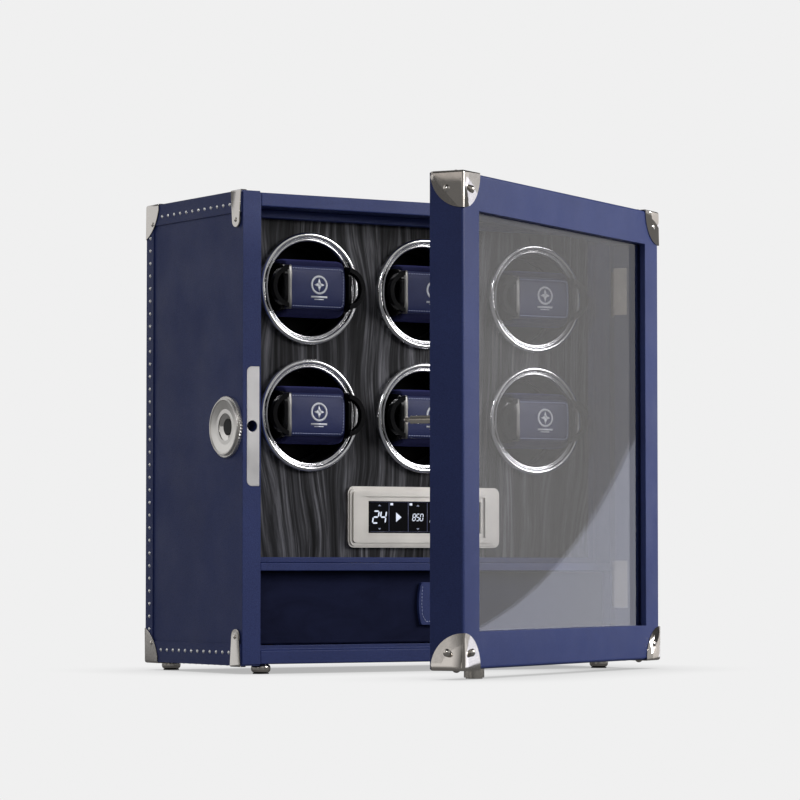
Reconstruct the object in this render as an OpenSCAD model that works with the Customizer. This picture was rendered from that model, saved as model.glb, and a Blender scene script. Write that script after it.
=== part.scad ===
// Watch winder box: leather-covered cabinet with a framed glass door, six
// motor-driven rotors, a touch display and a storage drawer.
// Millimetres. The origin is the centre of the cabinet's footprint on the
// table, +X to the right, +Y to the back and +Z up. The door faces -Y.

/* [Cabinet] */
// Outside width of the cabinet
body_w = 405; // [400:1:440]
// Outside depth of the cabinet, without its door
body_d = 176; // [172:1:200]
// Height of the cabinet, without its feet
body_h = 410; // [406:1:440]
// Height of the feet
foot_h = 8.5; // [7:0.5:14]
// Radius of the feet
foot_r = 8.5; // [6:0.5:9]
// Thickness of the two side panels
side_t = 18; // [18:0.5:20]
// Thickness of the top and bottom panels
rail_t = 12; // [10:0.5:14]
// Height of the underside of the shelf above the table
shelf_z = 89.3; // [86:0.1:92]
// Thickness of the shelf
shelf_t = 7; // [6:0.5:8]
// Depth of the wood panel behind the front of the cabinet
panel_recess = 30; // [28:0.5:34]

/* [Door] */
// Thickness of the door
door_t = 31; // [28:0.5:34]
// Width of the two upright sides of the door frame
door_stile = 30; // [26:0.5:34]
// Width of the upper and lower sides of the door frame
door_rail = 31; // [27:0.5:34]
// Angle at which the door stands open
door_open = 31; // [25:1:35]
// Depth of the glass behind the outer face of the door
glass_recess = 5.2; // [4:0.1:12]
// Height of each butt hinge
hinge_h = 43; // [40:1:50]

/* [Trim] */
// Thickness of the leather trim bands
band_t = 1.2; // [0.8:0.1:1.6]
// Width of the trim bands along the top and bottom
band_w = 17.5; // [15:0.5:20]
// Width of the trim band on the side face along the rear edge
band_rear_w = 12; // [10:0.5:14]
// Thickness of the metal corner protectors
cap_t = 1; // [0.8:0.1:1.4]
// Distance between neighbouring trim rivets
rivet_pitch = 11.4; // [10:0.1:14]

/* [Rotors] */
// Distance between the columns of rotors
col_pitch = 120; // [116:0.5:124]
// Distance between the rows of rotors
row_pitch = 112.2; // [106:0.1:113]
// Height of the lower row of rotors above the table
row_z = 226.6; // [224:0.1:228]
// Outside diameter of the metal rings
ring_od = 100; // [98:1:104]
// Outside diameter of the rotor cups
cup_od = 86.4; // [84:0.2:86.8]
// Width of the watch cushions
cushion_w = 62; // [54:1:62]
// Height of the watch cushions
cushion_h = 54; // [46:1:54]

/* [Display] */
// Width of the display bezel
bezel_w = 160.5; // [150:0.5:170]
// Height of the display bezel
bezel_h = 54.5; // [50:0.5:56]
// Height of the centre of the display above the table
bezel_z = 137.2; // [134:0.1:138]

/* [Lock] */
// Height of the lock above the table
lock_z = 214.6; // [200:0.1:230]
// Distance of the lock behind the front of the cabinet
lock_back = 27; // [26:0.5:34]
// Radius of the knurled rosette
rosette_r = 27; // [24:0.5:28]

/* [Hidden] */

$fn = 64;
hw = body_w / 2;
hd = body_d / 2;
z_bot = foot_h;
z_top = foot_h + body_h;
mid_z = foot_h + body_h / 2;
half_h = body_h / 2;
front_y = -hd;
inner_w = body_w - 2 * side_t;
shelf_top = shelf_z + shelf_t;
leather = [0.18, 0.2, 0.3];
nickel = [0.75, 0.74, 0.72];
far = 400;

// The rotors are counted along each row from the left, the upper row first.
function rotor_x(i) = ((i - 1) % 3 - 1) * col_pitch;
function rotor_z(i) = row_z + (i <= 3 ? row_pitch : 0);

// ---------- shared shapes ----------

// Box between two corners
module block(low, high) {
    translate(low) cube(high - low);
}

// Extrudes an outline drawn in X and Z from y0 back to y1
module along_y(y0, y1) {
    translate([0, y1, 0]) rotate([90, 0, 0]) linear_extrude(y1 - y0) children();
}

// Extrudes an outline drawn in Y and Z from x0 to x1
module along_x(x0, x1) {
    translate([x0, 0, 0]) rotate([90, 0, 90]) linear_extrude(x1 - x0) children();
}

// Rectangle about the origin with round corners
module round_rect(w, h, r) {
    square([w, h - 2 * r], center = true);
    square([w - 2 * r, h], center = true);
    for (sx = [-1, 1])
        for (sy = [-1, 1])
            translate([sx * (w / 2 - r), sy * (h / 2 - r)]) circle(r);
}

// Flat ring between two rectangles about the origin
module rect_ring(w, h, inner_w, inner_h) {
    difference() {
        square([w, h], center = true);
        square([inner_w, inner_h], center = true);
    }
}

// Domed rivet head that stands on the plane z = 0
module dome(r, h) {
    ball = (r * r + h * h) / (2 * h);
    rotate_extrude() intersection() {
        translate([0, h - ball]) circle(ball);
        square([r, h]);
    }
}

// Mirrors the children to the given side of X, Y and Z
module to_side(sx, sy = 1, sz = 1) {
    mirror([sx < 0 ? 1 : 0, 0, 0])
        mirror([0, sy < 0 ? 1 : 0, 0])
            mirror([0, 0, sz < 0 ? 1 : 0]) children();
}

// Draws the children about the middle height of the cabinet
module at_middle() {
    translate([0, 0, mid_z]) children();
}

// ---------- cabinet panels ----------

lock_y = front_y + lock_back;
pocket_r = 12.6;
pocket_depth = 15;
latch_x = -hw + 9.5;
channel_r = 5.2;
hinge_zs = [77, 345];
leaf_t = 1;
leaf_w = 16;
shell_back = 6;

module side_panel() {
    block([hw - side_t, -hd, z_bot], [hw, hd, z_top]);
}

module lock_pocket() {
    translate([-hw - 1, lock_y, lock_z])
        rotate([0, 90, 0]) cylinder(r = pocket_r, h = pocket_depth + 1);
    translate([latch_x, front_y - 1, lock_z])
        rotate([-90, 0, 0]) cylinder(r = channel_r, h = lock_back + 1);
}

module side_panel_left() {
    color(leather) difference() {
        to_side(-1) side_panel();
        lock_pocket();
        strike_plate_shape();
    }
}

module side_panel_right() {
    color(leather) difference() {
        side_panel();
        for (z = hinge_zs)
            block([hw - leaf_w, front_y - 1, z - hinge_h / 2],
                  [hw + 1, front_y + leaf_t, z + hinge_h / 2]);
    }
}

module top_panel() {
    color(leather)
        block([-inner_w / 2, -hd, z_top - rail_t], [inner_w / 2, hd, z_top]);
}

// The bottom panel has a low sill in front of the drawer's runners.
sill_h = 4.5;
sill_recess = 12;
module bottom_panel() {
    floor_z = z_bot + rail_t;
    color(leather) {
        block([-inner_w / 2, -hd, z_bot], [inner_w / 2, hd, floor_z]);
        block([-inner_w / 2, front_y + sill_recess, floor_z - 1],
              [inner_w / 2, front_y + sill_recess + 8, floor_z + sill_h]);
    }
}

inlet_x = 150;
inlet_z = 125;
inlet_r = 5.5;
module back_panel() {
    color([0.1, 0.11, 0.16]) difference() {
        block([-inner_w / 2, hd - shell_back, z_bot + rail_t],
              [inner_w / 2, hd, z_top - rail_t]);
        translate([inlet_x, 0, inlet_z])
            rotate([-90, 0, 0]) cylinder(r = inlet_r, h = far);
        back_vents();
    }
}

vent_w = 3.5;
vent_h = 40;
module back_vents() {
    for (i = [-5:5])
        block([i * 9 - vent_w / 2, 0, 290 - vent_h / 2],
              [i * 9 + vent_w / 2, far, 290 + vent_h / 2]);
}

module shelf() {
    color(leather)
        block([-inner_w / 2, -hd, shelf_z], [inner_w / 2, hd - shell_back, shelf_top]);
}

// ---------- rotor compartment ----------

panel_t = 8;
lip_t = 8;
lip_top = 7.5;
lip_bottom = 5;
lip_side = 4;
panel_front = front_y + panel_recess;
panel_back = panel_front + panel_t;
panel_h = z_top - rail_t - shelf_top;
hole_r = cup_od / 2 + 1;
window_w = 119;
window_h = 28.5;

// Leather-covered lip around the wood panel
module panel_frame() {
    color(leather) difference() {
        block([-inner_w / 2, panel_front - lip_t, shelf_top],
              [inner_w / 2, panel_front, z_top - rail_t]);
        block([-inner_w / 2 + lip_side, -far, shelf_top + lip_bottom],
              [inner_w / 2 - lip_side, far, z_top - rail_t - lip_top]);
    }
}

module rotor_panel() {
    color([0.17, 0.17, 0.18]) difference() {
        block([-inner_w / 2, panel_front, shelf_top],
              [inner_w / 2, panel_back, z_top - rail_t]);
        for (i = [1:6])
            translate([rotor_x(i), -far, rotor_z(i)])
                rotate([-90, 0, 0]) cylinder(r = hole_r, h = 2 * far);
        block([-window_w / 2, -far, bezel_z - window_h / 2],
              [window_w / 2, far, bezel_z + window_h / 2]);
    }
}

// Ring of two round beads, standing on the wood panel
ring_proud = 5.6;
ring_inner_r = cup_od / 2 - 1.2;
module ring_profile() {
    outer_r = ring_od / 2;
    bead = 2.6;
    translate([outer_r - bead, ring_proud - bead]) circle(bead);
    translate([outer_r - 2 * bead, 0]) square([2 * bead, ring_proud - bead]);
    translate([ring_inner_r, 0]) square([outer_r - ring_inner_r - bead, 2.4]);
    translate([ring_inner_r + 1.2, 2.4]) circle(1.2, $fn = 32);
}

module rotor_rings() {
    color(nickel)
        for (i = [1:6])
            translate([rotor_x(i), panel_front, rotor_z(i)])
                rotate([90, 0, 0]) rotate_extrude() ring_profile();
}

// ---------- rotors ----------

cup_r = cup_od / 2;
cup_wall = 1.6;
cup_front = panel_front + 0.6;
cup_depth = 38.8;
cup_floor = 2.5;
cup_back = cup_front + cup_depth;
hub_r = 8;
hub_len = 6;
shaft_r = 3;
shaft_len = 26;
bulkhead_front = cup_back + hub_len + 2;
bulkhead_t = 5;

// Cup with its rolled rim, a step inside, its hub and its drive shaft
module rotor_cup(i) {
    color([0.04, 0.04, 0.045])
        translate([rotor_x(i), cup_front, rotor_z(i)])
            rotate([-90, 0, 0]) {
                rotate_extrude() {
                    translate([cup_r - cup_wall, 0.8]) square([cup_wall, cup_depth - 0.8]);
                    translate([cup_r - 0.8, 0.8]) circle(0.8, $fn = 32);
                    translate([cup_r - 4.2, 27]) square([3.2, 3]);
                    translate([0, cup_depth - cup_floor]) square([cup_r, cup_floor]);
                    translate([0, cup_depth]) square([hub_r, hub_len]);
                    translate([0, cup_depth]) square([shaft_r, shaft_len]);
                }
            }
}

cushion_front = front_y + 14;
cushion_d = 38;
cushion_round = 13;
module watch_cushion(i) {
    color([0.13, 0.14, 0.25])
        translate([rotor_x(i), cushion_front + cushion_d / 2, rotor_z(i)])
            along_x(-cushion_w / 2, cushion_w / 2)
                round_rect(cushion_d, cushion_h, cushion_round);
}

// Black end plates of the cushion, each with its D-shaped finger loop
clip_t = 3;
loop_r = 19;
loop_band = 4;
loop_front = front_y + 9;
loop_d = 6;
module cushion_clip(i) {
    plate_d = 34;
    plate_h = 42;
    plate_round = 12;
    plate_x = cushion_w / 2;
    loop_x = plate_x - 3;
    color([0.05, 0.05, 0.055])
        translate([rotor_x(i), 0, rotor_z(i)])
            for (s = [-1, 1]) to_side(s) {
                translate([0, loop_front + 2 + plate_d / 2, 0])
                    along_x(plate_x, plate_x + clip_t)
                        round_rect(plate_d, plate_h, plate_round);
                along_y(loop_front, loop_front + loop_d) intersection() {
                    translate([loop_x, 0]) difference() {
                        circle(loop_r);
                        circle(loop_r - loop_band);
                    }
                    translate([plate_x, -far / 2]) square(far);
                }
            }
}

// ---------- drive ----------

// Upright plate that carries the six gearmotors
module motor_bulkhead() {
    color([0.55, 0.56, 0.58]) difference() {
        block([-inner_w / 2, bulkhead_front, row_z - 50],
              [inner_w / 2, bulkhead_front + bulkhead_t, z_top - rail_t]);
        for (i = [1:6])
            translate([rotor_x(i), -far, rotor_z(i)])
                rotate([-90, 0, 0]) cylinder(r = hub_r + 2, h = 2 * far);
    }
}

gearbox_r = 18.5;
gearbox_len = 22;
motor_r = 12;
motor_len = 20;
module gearmotors() {
    color([0.62, 0.62, 0.64])
        for (i = [1:6])
            translate([rotor_x(i), bulkhead_front + bulkhead_t, rotor_z(i)])
                rotate([-90, 0, 0]) difference() {
                    union() {
                        cylinder(r = gearbox_r, h = gearbox_len);
                        translate([0, 0, gearbox_len]) cylinder(r = motor_r, h = motor_len);
                    }
                    translate([0, 0, -1]) cylinder(r = shaft_r + 0.05, h = 15);
                }
}

// ---------- display ----------

bezel_proud = 5.6;
bezel_step = 3;
module bezel_layer(y0, y1, inset, r) {
    along_y(y0, y1) round_rect(bezel_w - 2 * inset, bezel_h - 2 * inset, r);
}

module display_bezel() {
    slope = 4.2;
    color([0.78, 0.76, 0.72])
        translate([0, panel_front, bezel_z]) difference() {
            union() {
                bezel_layer(-bezel_step, 0, 0, 6);
                bezel_layer(-bezel_step - 1.2, -bezel_step, 1.6, 5);
                bezel_layer(-bezel_proud, -bezel_step - 1.2, slope, 3);
            }
            along_y(-far, far) square([window_w, window_h], center = true);
            along_y(-far, -bezel_proud + 1.6)
                square([window_w + 8, window_h + 8], center = true);
        }
}

module display_window() {
    color([0.02, 0.02, 0.03])
        translate([0, panel_front, bezel_z])
            along_y(-2.4, panel_t) square([window_w, window_h], center = true);
}

board_t = 1.6;
module control_board() {
    color([0.08, 0.3, 0.16])
        translate([0, panel_back, bezel_z]) {
            along_y(0, board_t) square([136, 44], center = true);
            block([-50, board_t - 0.1, -14], [-26, 9, 8]);
            block([-8, board_t - 0.1, -8], [10, 4, 8]);
            for (x = [28, 42])
                translate([x, board_t - 0.1, 0])
                    rotate([-90, 0, 0]) cylinder(r = 4, h = 11);
        }
}

module dc_inlet() {
    socket_r = 2.8;
    color([0.1, 0.1, 0.11])
        translate([inlet_x, hd - shell_back, inlet_z]) rotate([-90, 0, 0]) difference() {
            union() {
                translate([0, 0, -10]) cylinder(r = inlet_r, h = 10 + shell_back);
                translate([0, 0, shell_back]) cylinder(r = inlet_r + 2, h = 1.4);
            }
            translate([0, 0, -6]) cylinder(r = socket_r, h = far);
        }
}

// ---------- trim ----------

rear_inset = 16;
front_inset = [24, 10];
function foot_spots() = [for (s = [-1, 1]) for (rear = [0, 1])
    rear ? [s * (hw - rear_inset), hd - rear_inset]
         : [s * (hw - front_inset[0]), -hd + front_inset[1]]];

module foot_holes() {
    for (p = foot_spots())
        translate([p[0], p[1], -1]) cylinder(r = foot_r + 0.2, h = foot_h + 1);
}

// Leather bands along the top, rear and bottom edges of the right side
module trim_band() {
    out_x = hw + band_t;
    band_front = -hd + 1;
    side_x = hw - band_w;
    difference() {
        union() {
            block([hw, band_front, z_top - band_w], [out_x, hd + band_t, z_top + band_t]);
            block([side_x, band_front, z_top], [out_x, hd + band_t, z_top + band_t]);
            block([hw, band_front, z_bot - band_t], [out_x, hd + band_t, z_bot + band_w]);
            block([side_x, band_front, z_bot - band_t], [out_x, hd + band_t, z_bot]);
            block([hw, hd - band_rear_w, z_bot], [out_x, hd + band_t, z_top]);
            block([side_x, hd, z_bot - band_t], [out_x, hd + band_t, z_top + band_t]);
        }
        foot_holes();
    }
}

module trim_band_left() {
    color(leather) to_side(-1) trim_band();
}

module trim_band_right() {
    color(leather) trim_band();
}

// Rivets run between the corner protectors on every face of the bands.
rivet_r = 1.6;
rivet_h = 0.9;
row_y0 = -hd + 22;
rows_y = 12;
rows_z = 32;
row_z0 = mid_z - (rows_z - 1) / 2 * rivet_pitch;
module side_rivet(y, z) {
    translate([hw + band_t, y, z]) rotate([0, 90, 0]) dome(rivet_r, rivet_h);
}

module trim_rivets() {
    edge = 10;
    color(nickel)
        for (s = [-1, 1]) to_side(s) {
            for (i = [0:rows_y - 1]) {
                y = row_y0 + i * rivet_pitch;
                side_rivet(y, z_top - edge);
                side_rivet(y, z_bot + edge);
                translate([hw - edge, y, z_top + band_t]) dome(rivet_r, rivet_h);
                if (norm([hw - edge - (hw - rear_inset), y - (hd - rear_inset)]) > foot_r + 2)
                    translate([hw - edge, y, z_bot - band_t])
                        mirror([0, 0, 1]) dome(rivet_r, rivet_h);
            }
            for (i = [0:rows_z - 1]) {
                z = row_z0 + i * rivet_pitch;
                side_rivet(hd - 6, z);
                translate([hw - edge, hd + band_t, z])
                    rotate([-90, 0, 0]) dome(rivet_r, rivet_h);
            }
        }
}

// Three-sided protector. The corner that it covers is at the origin and the box
// lies towards +X, +Y and +Z. Each outline is [width, height, radius, centre].
module corner_cap(t, level, upright) {
    module face(outline) {
        intersection() {
            translate(outline[3]) circle(outline[2]);
            square([outline[0], outline[1]]);
        }
        translate([-t, -t]) square([outline[0] + t, t]);
        translate([-t, -t]) square([t, outline[1] + t]);
    }
    translate([0, 0, -t]) linear_extrude(t) face(level);
    rotate([90, 0, 0]) linear_extrude(t) face(upright);
    rotate([0, -90, 0]) linear_extrude(t) mirror([1, -1]) face(upright);
}

// Rounded tongue that folds over the front end of a trim band
module front_tongue() {
    tip_r = 6.4;
    tip_c = [9.6, 24];
    out_x = hw + band_t + cap_t;
    roof_z = z_top + band_t;
    to_front = front_y;
    module outline() {
        polygon([[0.5, -band_t - cap_t], [18.4, -band_t - cap_t], [15.9, tip_c[1]], [3.3, tip_c[1]]]);
        translate(tip_c) circle(tip_r);
    }
    translate([0, to_front, z_top]) mirror([0, 0, 1]) {
        along_x(hw + band_t, out_x) outline();
        along_x(hw, out_x) intersection() {
            outline();
            translate([0, band_w]) square(far);
        }
    }
    block([hw - 5, to_front + 3, roof_z], [out_x, to_front + 18.4, roof_z + cap_t]);
}

rear_level = [24, 24, 31, [0, 0]];
rear_upright = [24, 30.3, 40.2, [-14.5, -7]];
module corner_caps() {
    color(nickel) difference() {
        for (s = [-1, 1], up = [-1, 1]) {
            at_middle() to_side(s, 1, up)
                translate([hw + band_t, hd + band_t, half_h + band_t])
                    mirror([1, 0, 0]) mirror([0, 1, 0]) mirror([0, 0, 1])
                        corner_cap(cap_t, rear_level, rear_upright);
            at_middle() to_side(s, 1, up) translate([0, 0, -mid_z]) front_tongue();
        }
        foot_holes();
    }
}

cap_rivet_r = 2.3;
cap_rivet_h = 1.2;
module corner_cap_rivets() {
    out = band_t + cap_t;
    color(nickel)
        for (s = [-1, 1], up = [-1, 1])
            at_middle() to_side(s, 1, up) {
                translate([hw + out, hd - 12, half_h - 16])
                    rotate([0, 90, 0]) dome(cap_rivet_r, cap_rivet_h);
                translate([hw - 12, hd + out, half_h - 16])
                    rotate([-90, 0, 0]) dome(cap_rivet_r, cap_rivet_h);
                translate([hw + out, -hd + 9.6, half_h - 24])
                    rotate([0, 90, 0]) dome(cap_rivet_r, cap_rivet_h);
            }
}

pad_t = 1;
module feet() {
    color(nickel)
        for (p = foot_spots())
            translate([p[0], p[1], pad_t]) cylinder(r = foot_r, h = foot_h - pad_t);
}

module foot_pads() {
    color([0.1, 0.1, 0.1])
        for (p = foot_spots())
            translate([p[0], p[1], 0]) cylinder(r = foot_r - 1.5, h = pad_t);
}

// ---------- lock ----------

strike_w = 12.4;
strike_x = latch_x + 0.8;
strike_h = 104;
strike_t = 1.2;
strike_hole_r = 4.9;
module strike_plate_shape() {
    corner = 5;
    along_y(front_y, front_y + strike_t)
        translate([strike_x, lock_z]) {
            round_rect(strike_w, strike_h, corner);
            translate([0, -strike_h / 2]) square([strike_w / 2, strike_h]);
        }
}

module strike_plate() {
    color([0.7, 0.69, 0.68]) difference() {
        strike_plate_shape();
        translate([latch_x, -far, lock_z])
            rotate([-90, 0, 0]) cylinder(r = strike_hole_r, h = far);
    }
}

// Scalloped flange with a raised rim, a shallow dish and a central funnel
button_r = 7;
module lock_rosette() {
    teeth = 60;
    flange_t = 2.6;
    color(nickel)
        translate([-hw, lock_y, lock_z]) rotate([0, -90, 0]) {
            difference() {
                linear_extrude(flange_t)
                    polygon([for (i = [0:2 * teeth - 1])
                        let (r = rosette_r - (i % 2) * 0.9, a = i * 180 / teeth)
                        [r * cos(a), r * sin(a)]]);
                translate([0, 0, -1]) cylinder(r = 12, h = flange_t + 2);
            }
            rotate_extrude() polygon([[24.9, flange_t - 0.2], [24.9, 4.4], [24.3, 5], [23.5, 5],
                [22.6, 4.2], [11.6, 1.7], [button_r + 0.4, 0], [11, 0], [12.5, 0.2],
                [22.6, flange_t - 0.2]]);
        }
}

module along_lock(x0, x1) {
    translate([-hw + x0, lock_y, lock_z]) rotate([0, 90, 0]) linear_extrude(x1 - x0) children();
}

bolt_size = [6, 3, 5];
bolt_rest = 5.6;
bolt_y = -3;
module lock_body() {
    color([0.5, 0.5, 0.52]) difference() {
        along_lock(4.2, pocket_depth) circle(pocket_r);
        translate([latch_x, -far, lock_z])
            rotate([-90, 0, 0]) cylinder(r = channel_r, h = far + lock_y);
        along_lock(0, 8) circle(2.1, $fn = 32);
        block([latch_x - bolt_size[0] / 2 - 0.3, lock_y + bolt_y - bolt_size[1] / 2 - 0.3, lock_z],
              [latch_x + bolt_size[0] / 2 + 0.3, lock_y + bolt_y + bolt_size[1] / 2 + 0.3,
               lock_z + bolt_rest + bolt_size[2] + 0.4]);
    }
}

module fingerprint_button() {
    color([0.05, 0.06, 0.06]) {
        along_lock(-0.3, 2.6) circle(button_r);
        along_lock(2.5, 3.7) circle(2, $fn = 32);
    }
}

// Flat bolt that drops into the groove of the latch pin
module latch_bolt() {
    color([0.7, 0.7, 0.7])
        translate([latch_x, lock_y + bolt_y, lock_z + bolt_rest])
            block([-bolt_size[0] / 2, -bolt_size[1] / 2, 0], [bolt_size[0] / 2, bolt_size[1] / 2, bolt_size[2]]);
}

// ---------- door, drawn closed and then swung open ----------

door_gap = 0.6;
door_back = front_y - door_gap;
door_front = door_back - door_t;
door_round = 3;
glass_t = 3;
glass_front = door_front + glass_recess;
glass_back = glass_front + glass_t;
rabbet = 6;
hinge_x = hw + 3.3;
hinge_y = front_y - door_gap / 2;
opening_w = body_w - 2 * door_stile;
opening_h = body_h - 2 * door_rail;
reveal_x = opening_w / 2;

module swung() {
    translate([hinge_x, hinge_y, 0])
        rotate([0, 0, door_open])
            translate([-hinge_x, -hinge_y, 0]) children();
}

module door_leaf_pocket() {
    for (z = hinge_zs)
        block([reveal_x - 1, door_back - leaf_t, z - hinge_h / 2],
              [hw + 1, door_back + 1, z + hinge_h / 2]);
}

// Door block whose four front edges are rounded
module door_block() {
    depth = 2 * door_t;
    mid_y = door_front + door_t;
    at_middle() intersection() {
        along_y(door_front, door_back) rect_ring(body_w, body_h, opening_w, opening_h);
        translate([0, mid_y, -half_h])
            linear_extrude(body_h) round_rect(body_w, depth, door_round);
        translate([0, mid_y, 0]) along_x(-hw, hw) round_rect(depth, body_h, door_round);
    }
}

module door_frame() {
    color(leather) swung() difference() {
        door_block();
        at_middle() along_y(glass_front, far)
            square([opening_w + 2 * rabbet, opening_h + 2 * rabbet], center = true);
        door_leaf_pocket();
    }
}

module door_glass() {
    color([0.6, 0.62, 0.64, 0.35]) swung() at_middle()
        along_y(glass_front, glass_back)
            square([opening_w + 2 * rabbet, opening_h + 2 * rabbet], center = true);
}

module glass_bead() {
    color(leather) swung() difference() {
        at_middle() along_y(glass_back, door_back)
            rect_ring(opening_w + 2 * rabbet, opening_h + 2 * rabbet, opening_w, opening_h);
        door_leaf_pocket();
    }
}

door_outline = [30, 30, 30, [0, 0]];
module door_corner_caps() {
    color(nickel) swung() difference() {
        for (s = [-1, 1], up = [-1, 1])
            at_middle() to_side(s, 1, up)
                translate([hw, door_front, half_h])
                    mirror([1, 0, 0]) mirror([0, 0, 1])
                        corner_cap(cap_t, door_outline, door_outline);
        translate([-hw + door_foot_spot[0], door_back - door_foot_spot[1], 0])
            cylinder(r = foot_r + 0.2, h = z_bot);
    }
}

door_rivet_r = 3.3;
door_rivet_h = 2;
module door_cap_rivets() {
    a = 15;
    b = 14;
    color(nickel) swung()
        for (s = [-1, 1], up = [-1, 1])
            at_middle() to_side(s, 1, up) {
                translate([hw - a, door_front - cap_t, half_h - b])
                    rotate([90, 0, 0]) dome(door_rivet_r, door_rivet_h);
                translate([hw + cap_t, door_front + a, half_h - b])
                    rotate([0, 90, 0]) dome(door_rivet_r, door_rivet_h);
                translate([hw - a, door_front + b, half_h + cap_t])
                    dome(door_rivet_r, door_rivet_h);
            }
}

// Pin with the groove that the bolt locks
pin_r = 3.5;
module latch_pin() {
    pin_len = lock_back + door_gap;
    tip = 1.5;
    groove_w = 4;
    color([0.75, 0.75, 0.76]) swung()
        translate([latch_x, door_back, lock_z]) rotate([-90, 0, 0]) difference() {
            union() {
                cylinder(r = pin_r, h = pin_len - tip);
                translate([0, 0, pin_len - tip]) cylinder(r1 = pin_r, r2 = pin_r - 1.2, h = tip);
            }
            translate([0, 0, pin_len - tip - groove_w - 0.1]) difference() {
                cylinder(r = pin_r + 1, h = groove_w);
                translate([0, 0, -1]) cylinder(r = 2, h = groove_w + 2);
            }
        }
}

door_foot_spot = [48, 17];
module door_foot() {
    color(nickel) swung()
        translate([-hw + door_foot_spot[0], door_back - door_foot_spot[1], 0]) {
            translate([0, 0, pad_t]) cylinder(r = foot_r, h = z_bot - pad_t);
            cylinder(r = foot_r - 1.5, h = pad_t);
        }
}

// ---------- hinges ----------

knuckle_r = 3;
knuckles = 5;
knuckle_gap = 0.15;
hinge_pin_r = 1.5;

// Knuckles of one leaf, `first` is 0 for the cabinet's and 1 for the door's
module knuckle_rows(first) {
    seg = hinge_h / knuckles;
    for (k = [first:2:knuckles - 1])
        translate([0, 0, -hinge_h / 2 + k * seg + knuckle_gap])
            linear_extrude(seg - 2 * knuckle_gap) children();
}

module hinge_bore(z) {
    translate([hinge_x, hinge_y, z - hinge_h])
        cylinder(r = hinge_pin_r + 0.05, h = 2 * hinge_h, $fn = 32);
}

module cabinet_hinge_leaves() {
    color(nickel)
        for (z = hinge_zs) difference() {
            union() {
                block([hw - leaf_w, front_y, z - hinge_h / 2],
                      [hw - 0.3, front_y + leaf_t, z + hinge_h / 2]);
                translate([0, 0, z]) knuckle_rows(0) {
                    translate([hinge_x, hinge_y]) circle(knuckle_r);
                    translate([hw - 1, front_y]) square([hinge_x - hw + 1, leaf_t]);
                }
            }
            hinge_bore(z);
        }
}

module door_hinge_leaves() {
    wing = 13;
    color(nickel) swung()
        for (z = hinge_zs) difference() {
            union() {
                block([reveal_x, door_back - leaf_t, z - hinge_h / 2],
                      [hw - 0.3, door_back, z + hinge_h / 2]);
                block([reveal_x - leaf_t, door_back - wing, z - hinge_h / 2],
                      [reveal_x, door_back, z + hinge_h / 2]);
                translate([0, 0, z]) knuckle_rows(1) {
                    translate([hinge_x, hinge_y]) circle(knuckle_r);
                    translate([hw - 1, door_back - leaf_t])
                        square([hinge_x - hw + 1, leaf_t]);
                }
            }
            hinge_bore(z);
        }
}

module hinge_pins() {
    color(nickel)
        for (z = hinge_zs)
            translate([hinge_x, hinge_y, z - hinge_h / 2]) {
                cylinder(r = hinge_pin_r, h = hinge_h, $fn = 32);
                for (end = [-1.2, hinge_h])
                    translate([0, 0, end]) cylinder(r = knuckle_r, h = 1.2);
            }
}

// ---------- drawer ----------

drawer_recess = 10;
drawer_low = z_bot + rail_t + sill_h + 0.6;
drawer_high = shelf_z - 0.6;
drawer_face_t = 12;
drawer_face = front_y + drawer_recess;
box_back = 74;
box_w = inner_w - 13;
box_low = drawer_low + 1.4;
box_wall = 5;
runner_top = box_low - 0.3;

module drawer_runners() {
    color([0.45, 0.38, 0.3])
        for (s = [-1, 1]) to_side(s)
            block([inner_w / 2 - 25, drawer_face + drawer_face_t + 0.5, z_bot + rail_t],
                  [inner_w / 2, hd - shell_back, runner_top]);
}

module drawer_front() {
    color([0.1, 0.11, 0.19])
        block([-inner_w / 2 + 1, drawer_face, drawer_low],
              [inner_w / 2 - 1, drawer_face + drawer_face_t, drawer_high]);
}

module drawer_box() {
    color([0.09, 0.1, 0.17]) difference() {
        block([-box_w / 2, drawer_face + drawer_face_t, box_low], [box_w / 2, box_back, 80]);
        block([-box_w / 2 + box_wall, drawer_face + drawer_face_t + box_wall, box_low + 4],
              [box_w / 2 - box_wall, box_back - box_wall, far]);
    }
}

tab_w = 38;
tab_h = 38;
tab_z = 60;
tab_t = 3.4;
module pull_tab() {
    bulge_r = 60;
    color(leather)
        along_y(drawer_face - tab_t, drawer_face)
            translate([0, tab_z]) intersection() {
                round_rect(tab_w, tab_h, 5);
                translate([bulge_r - tab_w / 2, 0]) circle(bulge_r, $fn = 96);
                translate([tab_w / 2 - bulge_r, 0]) circle(bulge_r, $fn = 96);
            }
}

module pull_stud() {
    color(nickel)
        translate([0, drawer_face - tab_t, tab_z + 10]) rotate([90, 0, 0]) dome(4.5, 2.2);
}

// ---------- nodes ----------

side_panel_left();
side_panel_right();
top_panel();
bottom_panel();
back_panel();
shelf();
panel_frame();
rotor_panel();
trim_band_left();
trim_band_right();
trim_rivets();
corner_caps();
corner_cap_rivets();
feet();
foot_pads();
strike_plate();
lock_rosette();
lock_body();
fingerprint_button();
latch_bolt();
cabinet_hinge_leaves();
hinge_pins();
display_bezel();
display_window();
control_board();
rotor_rings();
motor_bulkhead();
gearmotors();
drawer_runners();
dc_inlet();
door_frame();
door_glass();
glass_bead();
door_corner_caps();
door_cap_rivets();
latch_pin();
door_foot();
door_hinge_leaves();
drawer_box();
drawer_front();
pull_tab();
pull_stud();
for (i = [1:6]) {
    rotor_cup(i);
    watch_cushion(i);
    cushion_clip(i);
}
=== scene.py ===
import math

import bmesh
import bpy
import numpy as np
from mathutils import Matrix, Vector
from mathutils.bvhtree import BVHTree


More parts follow.
